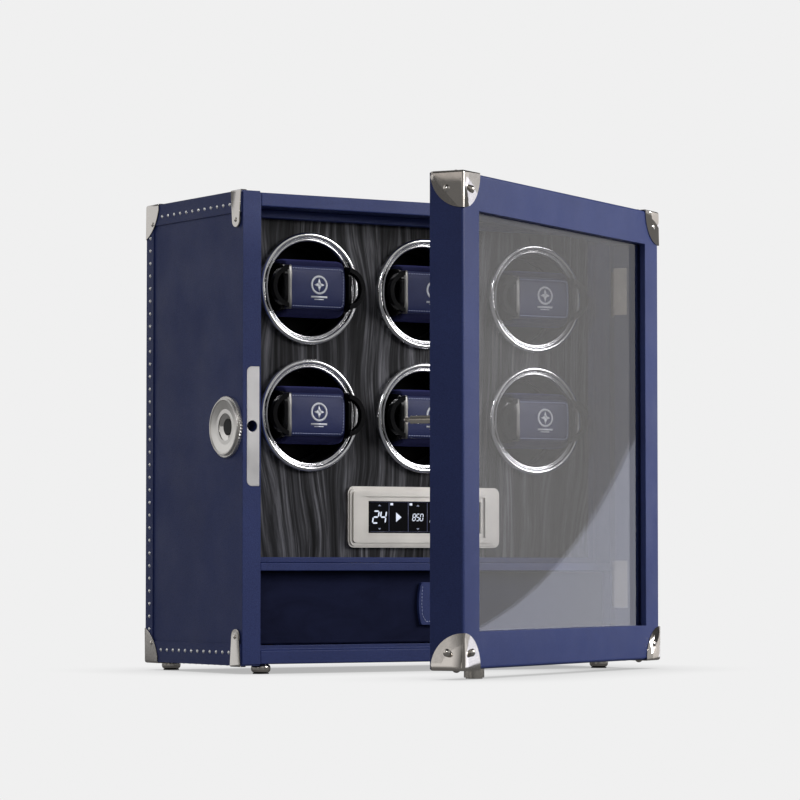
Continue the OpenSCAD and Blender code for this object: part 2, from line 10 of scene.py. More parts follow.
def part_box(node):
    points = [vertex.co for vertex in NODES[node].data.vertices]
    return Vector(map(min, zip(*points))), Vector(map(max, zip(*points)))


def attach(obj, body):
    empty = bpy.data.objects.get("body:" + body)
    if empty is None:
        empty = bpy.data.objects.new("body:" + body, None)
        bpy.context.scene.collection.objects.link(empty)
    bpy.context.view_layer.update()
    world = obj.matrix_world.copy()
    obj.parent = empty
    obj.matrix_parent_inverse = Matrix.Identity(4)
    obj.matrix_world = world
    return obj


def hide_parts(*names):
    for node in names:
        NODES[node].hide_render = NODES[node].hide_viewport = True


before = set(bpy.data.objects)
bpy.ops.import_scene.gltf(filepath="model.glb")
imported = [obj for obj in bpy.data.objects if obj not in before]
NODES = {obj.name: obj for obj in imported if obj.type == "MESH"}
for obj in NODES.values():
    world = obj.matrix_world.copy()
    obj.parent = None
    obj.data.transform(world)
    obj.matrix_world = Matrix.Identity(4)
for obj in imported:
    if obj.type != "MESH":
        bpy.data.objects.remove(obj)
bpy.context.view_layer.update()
MM = 0.001


# ---------------------------------------------------------------- node helpers
def node(tree, kind, inputs=None, **props):
    made = tree.nodes.new("ShaderNode" + kind)
    for key, value in props.items():
        setattr(made, key, value)
    for key, value in (inputs or {}).items():
        if isinstance(value, bpy.types.NodeSocket):
            tree.links.new(value, made.inputs[key])
        else:
            made.inputs[key].default_value = value
    return made


def coordinates(tree, scale=(1, 1, 1)):
    place = node(tree, "TexCoord").outputs["Object"]
    return node(tree, "Mapping", {"Vector": place, "Scale": scale}).outputs["Vector"]


def noise(tree, vector, scale, detail=3.0, rough=0.55, distortion=0.0):
    made = node(tree, "TexNoise", {"Vector": vector, "Scale": scale, "Detail": detail,
                                   "Roughness": rough, "Distortion": distortion})
    return made.outputs["Fac"]


def ramp(tree, fac, *stops):
    made = node(tree, "ValToRGB", {"Fac": fac})
    points = made.color_ramp.elements
    while len(points) < len(stops):
        points.new(0.5)
    for point, (at, tone) in zip(points, stops):
        point.position = at
        point.color = (*tone, 1) if isinstance(tone, tuple) else (tone, tone, tone, 1)
    return made.outputs["Color"]


def mix(tree, fac, a, b, mode="MIX"):
    made = node(tree, "Mix", data_type="RGBA", blend_type=mode)
    for name, value in (("Factor", fac), ("A", a), ("B", b)):
        spot = [s for s in made.inputs if s.name == name and s.enabled][0]
        if isinstance(value, bpy.types.NodeSocket):
            tree.links.new(value, spot)
        else:
            spot.default_value = (*value, 1) if isinstance(value, tuple) else value
    return [s for s in made.outputs if s.enabled][0]


def math_node(tree, kind, a, b=0.0, c=0.0):
    return node(tree, "Math", {0: a, 1: b, 2: c}, operation=kind).outputs[0]


def vector_math(tree, kind, a, b=(0, 0, 0), result="Vector"):
    return node(tree, "VectorMath", {0: a, 1: b}, operation=kind).outputs[result]


def bump(tree, height, strength, distance, under=None):
    inputs = {"Height": height, "Strength": strength, "Distance": distance}
    if under is not None:
        inputs["Normal"] = under
    return node(tree, "Bump", inputs).outputs["Normal"]


def material(name, tone, rough, metal=0.0, **settings):
    made = bpy.data.materials.new(name)
    made.use_nodes = True
    shader = made.node_tree.nodes["Principled BSDF"]
    shader.inputs["Base Color"].default_value = (*tone, 1)
    shader.inputs["Roughness"].default_value = rough
    shader.inputs["Metallic"].default_value = metal
    for key, value in settings.items():
        shader.inputs[key.replace("_", " ")].default_value = value
    return made, made.node_tree, shader


def wire(tree, shader, **sockets):
    for key, value in sockets.items():
        tree.links.new(value, shader.inputs[key.replace("_", " ")])


# ---------------------------------------------------------------- materials
def leather(name, light, dark, rough=0.5, grain=620.0):
    """Pebbled leather: grain cells with dark furrows of painted shade round them, pores, and slow
    changes of tone.
    """
    made, tree, shader = material(name, light, rough, Specular_IOR_Level=0.22)
    at = coordinates(tree)
    warp = noise(tree, at, 90.0, 2.0)
    moved = vector_math(tree, "ADD", at, vector_math(tree, "MULTIPLY", warp, (1.1 * MM,) * 3))
    cells = node(tree, "TexVoronoi", {"Vector": moved, "Scale": grain}, feature="DISTANCE_TO_EDGE")
    crease_and_shade = ramp(tree, cells.outputs["Distance"], (0.0, 0.0), (0.14, 0.75), (0.45, 1.0))
    pores = noise(tree, at, grain * 3.2, 2.0, 0.7)
    patches = noise(tree, at, 11.0, 4.0, 0.6)
    tone = mix(tree, ramp(tree, patches, (0.3, 0.0), (0.72, 1.0)), dark, light)
    # Painted shade: the base colour is darkened in the furrows round the grain cells.
    tone = mix(tree, 0.28, tone, mix(tree, 1.0, tone, crease_and_shade, "MULTIPLY"))
    shine = ramp(tree, noise(tree, at, 24.0, 4.0), (0.3, rough - 0.07), (0.7, rough + 0.07))
    height = mix(tree, 0.3, crease_and_shade, pores)
    wire(tree, shader, Base_Color=tone, Roughness=shine,
         Normal=bump(tree, patches, 0.25, 1.2 * MM, bump(tree, height, 0.42, 0.16 * MM)))
    return made


def suede(name, light, dark, tint, sheen=0.6):
    """Brushed nap: short fibres with painted shade where they part, strokes where it was brushed, and a
    soft sheen.
    """
    made, tree, shader = material(name, light, 0.92, Specular_IOR_Level=0.12, Sheen_Weight=sheen,
                                  Sheen_Roughness=0.42, Sheen_Tint=(*tint, 1))
    at = coordinates(tree)
    fibre = noise(tree, at, 2600.0, 2.0, 0.8)
    strokes = noise(tree, coordinates(tree, (16, 16, 34)), 1.0, 4.0, 0.62, 0.9)
    tone = mix(tree, ramp(tree, strokes, (0.28, 0.0), (0.72, 1.0)), dark, light)
    fibre_gap_shade = ramp(tree, fibre, (0.2, 0.35), (0.8, 1.0))
    # Painted shade: the base colour is darkened in the low spots of the nap, where the fibres part.
    tone = mix(tree, 0.35, tone, mix(tree, 1.0, tone, fibre_gap_shade, "MULTIPLY"))
    wire(tree, shader, Base_Color=tone,
         Normal=bump(tree, strokes, 0.2, 0.8 * MM, bump(tree, fibre, 0.5, 0.22 * MM)))
    return made


def metal(name, tone, rough, stroke=(60, 60, 60), wear=0.05, depth=0.02 * MM, wave=0.0):
    """Metal with fine strokes, smears in its polish, and the waves of stamped sheet, wave deep."""
    made, tree, shader = material(name, tone, rough, 1.0)
    strokes = noise(tree, coordinates(tree, stroke), 1.0, 5.0, 0.65)
    smears = noise(tree, coordinates(tree), 55.0, 4.0, 0.6)
    shade = tuple(c * 0.86 for c in tone)
    worn = mix(tree, 0.5, strokes, smears)
    waves = None
    if wave:
        waves = bump(tree, noise(tree, coordinates(tree), 55.0, 2.0, 0.5, 0.8), 1.0, wave)
    wire(tree, shader,
         Base_Color=mix(tree, smears, shade, tone),
         Roughness=ramp(tree, worn, (0.3, max(0.02, rough - wear)), (0.7, rough + wear)),
         Normal=bump(tree, strokes, 0.25, depth, waves))
    return made


def turned(name, tone, centre, radius):
    """Turned metal disc in y and z: a polished funnel, a satin dish with fine rings, and a rim."""
    made, tree, shader = material(name, tone, 0.2, 1.0)
    place = node(tree, "TexCoord").outputs["Object"]
    flat = vector_math(tree, "MULTIPLY", vector_math(tree, "SUBTRACT", place, centre), (0, 1, 1))
    reach = vector_math(tree, "LENGTH", flat, result="Value")
    share = math_node(tree, "MULTIPLY", reach, 1 / radius)
    cut = math_node(tree, "MULTIPLY", reach, 2600.0)
    rings = node(tree, "TexNoise", {"W": cut, "Scale": 1.0, "Detail": 2.0}, noise_dimensions="1D")
    smears = noise(tree, coordinates(tree), 90.0, 4.0, 0.6)
    zone = ramp(tree, share, (0.40, 0.10), (0.46, 0.38), (0.82, 0.38), (0.88, 0.48))
    wire(tree, shader,
         Base_Color=mix(tree, smears, tuple(c * 0.84 for c in tone), tone),
         Roughness=mix(tree, 0.15, zone, mix(tree, 1.0, zone, smears, "MULTIPLY")),
         Normal=bump(tree, rings.outputs["Fac"], 0.3, 0.03 * MM))
    return made


def plastic(name, tone, rough, speck=0.0, **settings):
    """Moulded plastic or rubber: a faint orange peel, dust and uneven gloss."""
    made, tree, shader = material(name, tone, rough, **settings)
    at = coordinates(tree)
    peel = noise(tree, at, 420.0, 2.0)
    dust = noise(tree, at, 1800.0, 3.0, 0.7)
    pale = tuple(c + speck for c in tone)
    gloss = noise(tree, at, 70.0, 4.0)
    wire(tree, shader,
         Base_Color=mix(tree, ramp(tree, dust, (0.55, 0.0), (0.8, 1.0)), tone, pale),
         Roughness=ramp(tree, gloss, (0.3, max(0.03, rough - 0.04)), (0.7, rough + 0.06)),
         Normal=bump(tree, peel, 0.12, 0.08 * MM))
    return made


def veneer(name):
    """Grey ebony veneer: upright wavy figure, light streaks and open pores under a satin lacquer."""
    made, tree, shader = material(name, (0.03, 0.03, 0.034), 0.42, Specular_IOR_Level=0.1)
    drift = noise(tree, coordinates(tree, (9, 9, 3.4)), 1.0, 2.0)
    place = node(tree, "TexCoord").outputs["Object"]
    shift = node(tree, "CombineXYZ", {"X": math_node(tree, "MULTIPLY", drift, 75 * MM)}).outputs[0]
    bent = vector_math(tree, "ADD", place, shift)

    def along(scale):
        return node(tree, "Mapping", {"Vector": bent, "Scale": scale}).outputs["Vector"]

    figure = noise(tree, along((120, 120, 4.2)), 1.0, 7.0, 0.66, 0.45)
    streak = noise(tree, along((330, 330, 5.5)), 1.0, 4.0, 0.7)
    pores = noise(tree, along((1500, 1500, 45)), 1.0, 2.0, 0.6)
    tone = ramp(tree, figure,
                (0.30, (0.003, 0.003, 0.0035)), (0.43, (0.014, 0.014, 0.0155)),
                (0.53, (0.047, 0.047, 0.052)), (0.62, (0.125, 0.125, 0.137)),
                (0.74, (0.016, 0.016, 0.018)))
    streaked = mix(tree, 1.0, tone, ramp(tree, streak, (0.34, 0.05), (0.66, 1.9)), "MULTIPLY")
    tone = mix(tree, 0.85, tone, streaked)
    tone = mix(tree, ramp(tree, pores, (0.60, 0.0), (0.72, 0.55)), tone, (0.004, 0.004, 0.005))
    wire(tree, shader, Base_Color=tone, Roughness=ramp(tree, streak, (0.3, 0.50), (0.7, 0.36)),
         Normal=bump(tree, pores, 0.35, 0.12 * MM, bump(tree, streak, 0.3, 0.25 * MM)))
    return made


def glow(name, tone, power):
    """Lit part of a display, a little uneven over its surface."""
    made, tree, shader = material(name, (0.01, 0.01, 0.012), 0.35, Emission_Color=(*tone, 1))
    grain = noise(tree, coordinates(tree), 900.0, 2.0)
    wire(tree, shader, Emission_Strength=ramp(tree, grain, (0.2, power * 0.85), (0.8, power)))
    return made


def window_glass(name, clear, gloss):
    """Thin glass: what is behind shows through, and the room reflects more at low angles."""
    made = bpy.data.materials.new(name)
    made.use_nodes = True
    tree = made.node_tree
    tree.nodes.clear()
    dust = noise(tree, coordinates(tree), 6.0, 5.0, 0.6)
    tint = mix(tree, dust, clear, tuple(c * 0.985 for c in clear))
    through = node(tree, "BsdfTransparent", {"Color": tint})
    mirror = node(tree, "BsdfGlossy", {"Roughness": gloss, "Color": (1, 1, 1, 1)})
    facing = node(tree, "LayerWeight", {"Blend": 0.5}).outputs["Facing"]
    at_normal = 0.04
    grazing = math_node(tree, "POWER", facing, 5.0)
    share = math_node(tree, "MULTIPLY_ADD", grazing, 1 - at_normal, at_normal)
    both = node(tree, "MixShader", {"Fac": share, 1: through.outputs[0], 2: mirror.outputs[0]})
    node(tree, "OutputMaterial", {"Surface": both.outputs[0]})
    return made


NAVY = leather("navy_leather", (0.029, 0.046, 0.168), (0.024, 0.038, 0.142), 0.5)
LABEL = leather("label_leather", (0.034, 0.044, 0.135), (0.024, 0.031, 0.098), 0.42, 900.0)
BACK = leather("back_leather", (0.020, 0.024, 0.060), (0.013, 0.016, 0.042), 0.62, 420.0)
SUEDE = suede("drawer_suede", (0.0105, 0.0140, 0.044), (0.0048, 0.0066, 0.024),
              (0.14, 0.19, 0.6), 0.33)
PILLOW = suede("cushion_suede", (0.0155, 0.0175, 0.060), (0.010, 0.011, 0.042),
               (0.22, 0.24, 0.8), 0.4)
WOOD = veneer("ebony_veneer")
CHROME = metal("ring_chrome", (0.97, 0.97, 0.98), 0.17, (40, 40, 40), 0.05)
NICKEL = metal("nickel", (0.70, 0.66, 0.61), 0.12, (240, 240, 240), 0.04, 0.015 * MM)
RIVETS = metal("rivet_nickel", (0.98, 0.98, 0.98), 0.34, (240, 240, 240), 0.04, 0.015 * MM)
CABINET_CAPS = metal("smooth_nickel", (0.66, 0.63, 0.60), 0.15, (240, 240, 240), 0.04, 0.015 * MM,
                     0.01 * MM)
CAPS = metal("stamped_nickel", (0.74, 0.69, 0.64), 0.10, (240, 240, 240), 0.04, 0.015 * MM, 0.08 * MM)
SATIN = metal("satin_silver", (0.66, 0.65, 0.64), 0.34, (900, 900, 9), 0.06)
HOLDER = metal("strip_metal", (0.20, 0.197, 0.19), 0.4, (900, 900, 9), 0.06)
BEZEL = metal("champagne_bezel", (0.80, 0.77, 0.72), 0.32, (10, 900, 900), 0.05)
STEEL = metal("lock_metal", (0.45, 0.45, 0.46), 0.3, (20, 700, 700), 0.08)
ZINC = metal("zinc_plate", (0.55, 0.56, 0.55), 0.4, (90, 90, 90), 0.1)
CUP = plastic("cup_black", (0.0022, 0.0022, 0.0026), 0.34, 0.002, Specular_IOR_Level=0.16)
CLIP = plastic("clip_black", (0.0025, 0.0025, 0.003), 0.14, 0.003, Specular_IOR_Level=0.14)
BLACK = plastic("black_plastic", (0.010, 0.010, 0.011), 0.42, 0.01)
RUBBER = plastic("rubber", (0.014, 0.014, 0.015), 0.75, 0.012)
SCREEN = plastic("black_glass", (0.003, 0.003, 0.004), 0.08, 0.001, Specular_IOR_Level=0.12)
BOARD = plastic("circuit_board", (0.006, 0.05, 0.022), 0.4, 0.02)
RUNNER = leather("runner_wood", (0.35, 0.24, 0.14), (0.26, 0.17, 0.09), 0.6, 500.0)
THREAD = suede("thread", (0.46, 0.51, 0.74), (0.34, 0.38, 0.60), (0.5, 0.55, 0.9), 0.3)
FOIL = plastic("silver_foil", (0.78, 0.80, 0.86), 0.4, 0.05, Metallic=0.2)
BUTTON = plastic("button_skin", (0.012, 0.013, 0.013), 0.62, 0.01)
LIT = glow("display_lit", (0.80, 0.86, 1.0), 1.05)
FAINT = glow("display_faint", (0.60, 0.66, 0.9), 0.45)
DIM = glow("display_dim", (0.25, 0.28, 0.55), 0.16)
PANE = window_glass("clear_glass", (0.93, 0.93, 0.94), 0.012)

BY_SLOT = {"navy_leather": NAVY, "back_cover": BACK, "ebony_veneer": WOOD, "nickel": NICKEL,
           "satin_silver": SATIN, "champagne_bezel": BEZEL, "black_glass": SCREEN, "clear_glass": PANE,
           "rubber": RUBBER, "lock_metal": STEEL, "circuit_board": BOARD, "zinc_plate": ZINC,
           "black_plastic": BLACK, "navy_suede": SUEDE, "runner_wood": RUNNER}


def dress(name, finish):
    for spot in NODES[name].material_slots:
        spot.material = finish


for name, part in NODES.items():
    slot_name = part.material_slots[0].material.name.split(".")[0]
    dress(name, BY_SLOT[slot_name])
dress("rotor_rings", CHROME)
dress("corner_caps", CABINET_CAPS)
dress("trim_rivets", RIVETS)
dress("door_corner_caps", CAPS)
dress("fingerprint_button", BUTTON)
low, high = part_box("lock_rosette")
centre = NODES["lock_rosette"].matrix_world.inverted() @ Vector((low + high) / 2)
dress("lock_rosette", turned("turned_nickel", (0.82, 0.80, 0.77), centre, 27 * MM))
for i in range(1, 7):
    dress(f"rotor_cup_{i}", CUP)
    dress(f"cushion_clip_{i}", CLIP)


# ---------------------------------------------------------------- softened CAD edges
def soften(name, width):
    """Rounds a CAD node's sharp edges by width, after its coplanar triangles are joined."""
    part = NODES[name]
    part.data.polygons.foreach_set("use_smooth", [True] * len(part.data.polygons))
    if "custom_normal" in part.data.attributes:
        part.data.attributes.remove(part.data.attributes["custom_normal"])
    weld = part.modifiers.new("weld", "WELD")
    weld.merge_threshold = 0.02 * MM
    flat = part.modifiers.new("flat", "DECIMATE")
    flat.decimate_type = "DISSOLVE"
    flat.angle_limit = math.radians(0.2)
    edge = part.modifiers.new("edge", "BEVEL")
    edge.width = width
    edge.segments = 3
    edge.limit_method = "ANGLE"
    edge.angle_limit = math.radians(40)
    edge.harden_normals = True


SOFT_EDGES = {"side_panel_left": 1.6, "side_panel_right": 1.6, "top_panel": 1.2, "bottom_panel": 1.2,
              "shelf": 0.9, "panel_frame": 0.8, "door_frame": 0.5, "glass_bead": 0.6,
              "drawer_front": 1.6, "strike_plate": 0.5, "pull_tab": 1.0, "back_panel": 0.8, "feet": 3.0}
for name, width in SOFT_EDGES.items():
    soften(name, width * MM)


def round_caps(name, turned_by, width, flat=False):
    """Rounds the long outer edges of a set of corner protectors, like stamped sheet.

    The set is turned back by turned_by first, so its box lies along the axes. With flat, the big
    faces keep flat shading up to the rounded edges.
    """
    part = NODES[name]
    back = Matrix.Rotation(-turned_by, 3, "Z")
    places = [back @ (part.matrix_world @ v.co) for v in part.data.vertices]
    ends = [(min(p[k] for p in places), max(p[k] for p in places)) for k in range(3)]
    near = 0.05 * MM

    def sides_met(place):
        return sum(min(abs(place[k] - end) for end in ends[k]) < near for k in range(3))

    outer = [n for n, place in enumerate(places) if sides_met(place) > 1]
    part.vertex_groups.new(name="outer").add(outer, 1.0, "REPLACE")
    soften(name, width)
    edge = part.modifiers["edge"]
    edge.limit_method = "VGROUP"
    edge.vertex_group = "outer"
    edge.segments = 5
    edge.use_clamp_overlap = False
    if flat:
        edge.harden_normals = False
        normals = part.modifiers.new("normals", "WEIGHTED_NORMAL")
        normals.mode = "FACE_AREA"
        normals.weight = 100


DOOR_OPEN = math.radians(31)
CAP_ROUND = 2.2 * MM
round_caps("corner_caps", 0.0, CAP_ROUND, flat=True)
round_caps("door_corner_caps", DOOR_OPEN, CAP_ROUND)


# ---------------------------------------------------------------- mesh helpers
def piece(name, verts, faces, finish, body, slot_name=None):
    """A smooth mesh object that rides on a body; without one, the caller says where it rides."""
    mesh = bpy.data.meshes.new(name)
    mesh.from_pydata([tuple(v) for v in verts], [], faces)
    mesh.validate()
    made = bpy.data.objects.new(name, mesh)
    bpy.context.scene.collection.objects.link(made)
    mesh.materials.append(finish)
    shell = bmesh.new()
    shell.from_mesh(mesh)
    bmesh.ops.recalc_face_normals(shell, faces=shell.faces)
    shell.to_mesh(mesh)
    shell.free()
    mesh.polygons.foreach_set("use_smooth", [True] * len(mesh.polygons))
    if body:
        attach(made, body)
    return made


def plate_faces(start, count):
    """Faces of a plate whose points are listed from start: count of one side, then of the other."""
    near = tuple(range(start, start + count))
    far = tuple(range(start + 2 * count - 1, start + count - 1, -1))
    after = [(k + 1) % count for k in range(count)]
    walls = [(start + k, start + after[k], start + count + after[k], start + count + k)
             for k in range(count)]
    return [near, far] + walls


def prisms(outlines, front, depth):
    """Flat outlines in x and z, made into thin plates that stand out from y = front."""
    verts, faces = [], []
    for outline in outlines:
        faces += plate_faces(len(verts), len(outline))
        verts += [(x, front, z) for x, z in outline] + [(x, front - depth, z) for x, z in outline]
    return verts, faces


STITCH_SHAPE = ((-0.5, 0.35), (-0.3, 0.9), (0.0, 1.0), (0.3, 0.9), (0.5, 0.35))
STITCH_SIDES = 6


def stitch_row(points, pitch, length, radius):
    """Small raised stitches along a path on a front face, each a tapered hexagonal bead."""
    verts, faces = [], []
    out = Vector((0, -1, 0))
    points = [Vector(p) for p in points]
    spans = [(b - a).length for a, b in zip(points, points[1:])]
    total, walked, k = sum(spans), 0.0, 0
    count = max(2, int(total / pitch))
    for n in range(count):
        want = (n + 0.5) * total / count
        while k < len(spans) - 1 and walked + spans[k] < want:
            walked += spans[k]
            k += 1
        t = (want - walked) / spans[k]
        centre = points[k].lerp(points[k + 1], t)
        along = (points[k + 1] - points[k]).normalized()
        side = along.cross(out)
        start = len(verts)
        for step, girth in STITCH_SHAPE:
            for a in range(STITCH_SIDES):
                turn = a * 2 * math.pi / STITCH_SIDES
                spoke = (out * math.sin(turn) + side * math.cos(turn)) * radius * girth
                verts.append(centre + along * (step * length) + spoke)
        last = start + (len(STITCH_SHAPE) - 1) * STITCH_SIDES
        for ring in range(start, last, STITCH_SIDES):
            for a in range(STITCH_SIDES):
                b = (a + 1) % STITCH_SIDES
                faces.append((ring + a, ring + b, ring + STITCH_SIDES + b, ring + STITCH_SIDES + a))
        faces.append(tuple(start + a for a in reversed(range(STITCH_SIDES))))
        faces.append(tuple(last + a for a in range(STITCH_SIDES)))
    return verts, faces


def round_box_distance(x, z, half_x, half_z, radius):
    """Depth of a point inside a rounded rectangle, less than nothing outside it."""
    dx, dz = abs(x) - half_x + radius, abs(z) - half_z + radius
    return radius - math.hypot(max(dx, 0), max(dz, 0)) - min(max(dx, dz), 0)


# ---------------------------------------------------------------- watch cushions
def simulate(made, pressure, cap):
    """Blows a closed mesh up by cloth pressure; no point moves further than cap."""
    rest = np.array([v.co[:] for v in made.data.vertices])
    cloth = made.modifiers.new("cloth", "CLOTH")
    cloth.settings.quality = 6
    cloth.settings.use_pressure = True
    cloth.settings.uniform_pressure_force = pressure
    cloth.settings.effector_weights.gravity = 0
    for moment in range(1, 21):
        bpy.context.scene.frame_set(moment)
    graph = bpy.context.evaluated_depsgraph_get()
    moved = np.array([v.co[:] for v in made.evaluated_get(graph).data.vertices])
    made.modifiers.remove(cloth)
    bpy.context.scene.frame_set(1)
    shift = moved - rest
    shift -= shift.mean(0)
    far = np.maximum(np.linalg.norm(shift, axis=1), 1e-9)
    rest += shift * np.minimum(1, cap / far)[:, None]
    for vert, place in zip(made.data.vertices, rest):
        vert.co = place


def cushion_form(half):
    """A pillow in its own frame: a rounded block, blown up and kept inside its space."""
    slack = (0.985, 0.93, 0.93)
    block = bmesh.new()
    bmesh.ops.create_cube(block, size=2.0)
    bmesh.ops.scale(block, vec=[h * s for h, s in zip(half, slack)], verts=block.verts)
    lengthwise = [e for e in block.edges if abs(e.verts[0].co.x - e.verts[1].co.x) > half[0]]
    bmesh.ops.bevel(block, geom=lengthwise, offset=half[2] * 0.42, segments=6, affect="EDGES",
                    profile=0.5)
    block.verts.index_update()
    places = [v.co.copy() for v in block.verts]
    sides = [tuple(v.index for v in f.verts) for f in block.faces]
    made = piece("cushion_form", places, sides, PILLOW, None)
    block.free()
    bpy.context.view_layer.objects.active = made
    made.data.remesh_voxel_size = 4 * MM
    made.data.remesh_voxel_adaptivity = 0.0
    bpy.ops.object.voxel_remesh()
    simulate(made, pressure=4.0, cap=4 * MM)
    fine = made.modifiers.new("fine", "SUBSURF")
    fine.levels = fine.render_levels = 2
    graph = bpy.context.evaluated_depsgraph_get()
    mesh = bpy.data.meshes.new_from_object(made.evaluated_get(graph))
    for vert in mesh.vertices:
        near = 1 - (vert.co.z / half[2]) ** 2
        vert.co.x = max(-half[0] * 0.99, min(half[0] * 0.99, vert.co.x))
        vert.co.y = max(-half[1] * 0.985 - 0.6 * MM * near, min(half[1], vert.co.y))
        vert.co.z = max(-half[2] * 1.01, min(half[2] * 1.01, vert.co.z))
    bpy.data.objects.remove(made)
    mesh.materials.clear()
    mesh.materials.append(PILLOW)
    mesh.polygons.foreach_set("use_smooth", [True] * len(mesh.polygons))
    return mesh


low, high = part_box("watch_cushion_1")
half = (high - low) / 2
PILLOW_MESH = cushion_form(half)
SKIN = BVHTree.FromPolygons([v.co.copy() for v in PILLOW_MESH.vertices],
                            [tuple(p.vertices) for p in PILLOW_MESH.polygons])
LEVEL_PART = 0.82 * half.x


def on_skin(x, z):
    """The pillow's front at a point; past its level part, the front at the end of that part."""
    x = max(-LEVEL_PART, min(LEVEL_PART, x))
    hit = SKIN.ray_cast(Vector((x, -100 * MM, z)), Vector((0, 1, 0)))[0]
    return hit.y if hit else -half.y


# Outlines of the label and of the metal strip at its end, from the cushion's middle
LABEL_LEFT, LABEL_RIGHT, LABEL_HALF = -26.5 * MM, 29.0 * MM, 19.0 * MM
LABEL_ROUND = 5.2 * MM
STRIP_LEFT, STRIP_RIGHT = -31.0 * MM, -25.0 * MM


def label_depth(x, z):
    """Depth inside the label's outline: square on the left, rounded on the right."""
    past = 4 * MM
    mid = (LABEL_LEFT + LABEL_RIGHT) / 2 - past
    wide = (LABEL_RIGHT - LABEL_LEFT) / 2 + past
    return round_box_distance(x - mid, z, wide, LABEL_HALF, LABEL_ROUND)


SEAM_INSET = 2.4 * MM


def label_front(x, z):
    """The label's front: a rolled rim, a furrow along the seam and a crown in the middle."""
    inside = max(0.0, label_depth(x, z))
    rise = 1.25 * MM * min(1.0, inside / (1.1 * MM)) ** 0.5
    rise -= 0.22 * MM * math.exp(-((inside - SEAM_INSET) / (0.7 * MM)) ** 2)
    rise += 0.5 * MM * max(0.0, 1 - (z / LABEL_HALF) ** 2)
    return on_skin(x, z) - rise


def label_mesh():
    across, up = 70, 54
    corner_x, corner_z = LABEL_RIGHT - LABEL_ROUND, LABEL_HALF - LABEL_ROUND
    verts, faces = [], []
    for side in (0, 1):
        for i in range(across + 1):
            for j in range(up + 1):
                x = LABEL_LEFT + (LABEL_RIGHT - LABEL_LEFT) * i / across
                z = -LABEL_HALF + 2 * LABEL_HALF * j / up
                if x > corner_x and abs(z) > corner_z:
                    dx, dz = x - corner_x, abs(z) - corner_z
                    reach = math.hypot(dx, dz)
                    if reach > LABEL_ROUND:
                        x = corner_x + dx * LABEL_ROUND / reach
                        z = math.copysign(corner_z + dz * LABEL_ROUND / reach, z)
                y = label_front(x, z) if side == 0 else on_skin(x, z) + 0.3 * MM
                verts.append((x, y, z))
    row, sheet = up + 1, (across + 1) * (up + 1)
    for side in (0, 1):
        for i in range(across):
            for j in range(up):
                a = side * sheet + i * row + j
                faces.append((a, a + row, a + row + 1, a + 1))
    rim = [i * row for i in range(across + 1)] + [across * row + j for j in range(1, row)]
    rim += [i * row + up for i in range(across - 1, -1, -1)] + [j for j in range(up - 1, 0, -1)]
    for a, b in zip(rim, rim[1:] + rim[:1]):
        faces.append((a, b, b + sheet, a + sheet))
    return verts, faces


def label_seam():
    """Stitches along the label's top, round its right end and back along the bottom."""
    r = 2.8 * MM
    start = LABEL_LEFT + 1.5 * MM
    x1, z1 = LABEL_RIGHT - SEAM_INSET, LABEL_HALF - SEAM_INSET
    quarter = np.linspace(0, math.pi / 2, 5)
    path = [(start, z1)]
    path += [(x1 - r + r * math.sin(a), z1 - r + r * math.cos(a)) for a in quarter]
    path += [(x1 - r + r * math.cos(a), -z1 + r - r * math.sin(a)) for a in quarter]
    path.append((start, -z1))
    fine = []
    for a, b in zip(path, path[1:]):
        steps = max(1, int(math.hypot(b[0] - a[0], b[1] - a[1]) / (1.2 * MM)))
        shares = [t / steps for t in range(steps)]
        fine += [(a[0] + (b[0] - a[0]) * t, a[1] + (b[1] - a[1]) * t) for t in shares]
    fine.append(path[-1])
    points = [(x, label_front(x, z) - 0.25 * MM, z) for x, z in fine]
    return stitch_row(points, pitch=2.6 * MM, length=2.0 * MM, radius=0.42 * MM)


def emblem_mesh():
    """A plain mark: a thin ring, a four-pointed star in it and two bars below."""
    outlines = []
    turns, ring_out, ring_in = 48, 8.4, 6.6
    for k in range(turns):
        a, b = 2 * math.pi * k / turns, 2 * math.pi * (k + 1) / turns
        corners = ((a, ring_out), (b, ring_out), (b, ring_in), (a, ring_in))
        outlines.append([(math.cos(t) * r, math.sin(t) * r) for t, r in corners])
    upright, notch, level = 6.0, 2.2, 5.2
    reaches = (upright, notch, level, notch) * 2
    star = [(math.sin(k * math.pi / 4) * reach, math.cos(k * math.pi / 4) * reach)
            for k, reach in enumerate(reaches)]
    for a, b in zip(star, star[1:] + star[:1]):
        outlines.append([(0.0, 0.0), a, b])
    outlines.append([(-8.2, -9.9), (8.2, -9.9), (8.2, -11.5), (-8.2, -11.5)])
    outlines.append([(-4.8, -12.4), (4.8, -12.4), (4.8, -13.2), (-4.8, -13.2)])
    verts, faces = [], []
    for outline in outlines:
        faces += plate_faces(len(verts), len(outline))
        flat = [((x + 1.6) * MM, (z + 2.4) * MM) for x, z in outline]
        verts += [(x, label_front(x, z) + 0.1 * MM, z) for x, z in flat]
        verts += [(x, label_front(x, z) - 0.12 * MM, z) for x, z in flat]
    return verts, faces


def strip_mesh():
    """The bowed metal strip that holds the label's end."""
    verts, faces = [], []
    rows, cols = 28, 8
    for i in range(rows + 1):
        z = (-1 + 2 * i / rows) * (LABEL_HALF + 0.3 * MM)
        for j in range(cols + 1):
            t = j / cols
            x = STRIP_LEFT + (STRIP_RIGHT - STRIP_LEFT) * t
            bow = (1.1 + 0.9 * math.sin(math.pi * t) ** 0.6) * MM
            verts.append((x, on_skin(x, z) - bow, z))
        verts += [(x, on_skin(x, z) + 0.5 * MM, z) for x in (STRIP_RIGHT, STRIP_LEFT)]
    wide = cols + 3
    for i in range(rows):
        for j in range(wide):
            a, b = i * wide + j, i * wide + (j + 1) % wide
            faces.append((a, b, b + wide, a + wide))
    faces += [tuple(range(wide)), tuple(range((rows + 1) * wide - 1, rows * wide - 1, -1))]
    return verts, faces


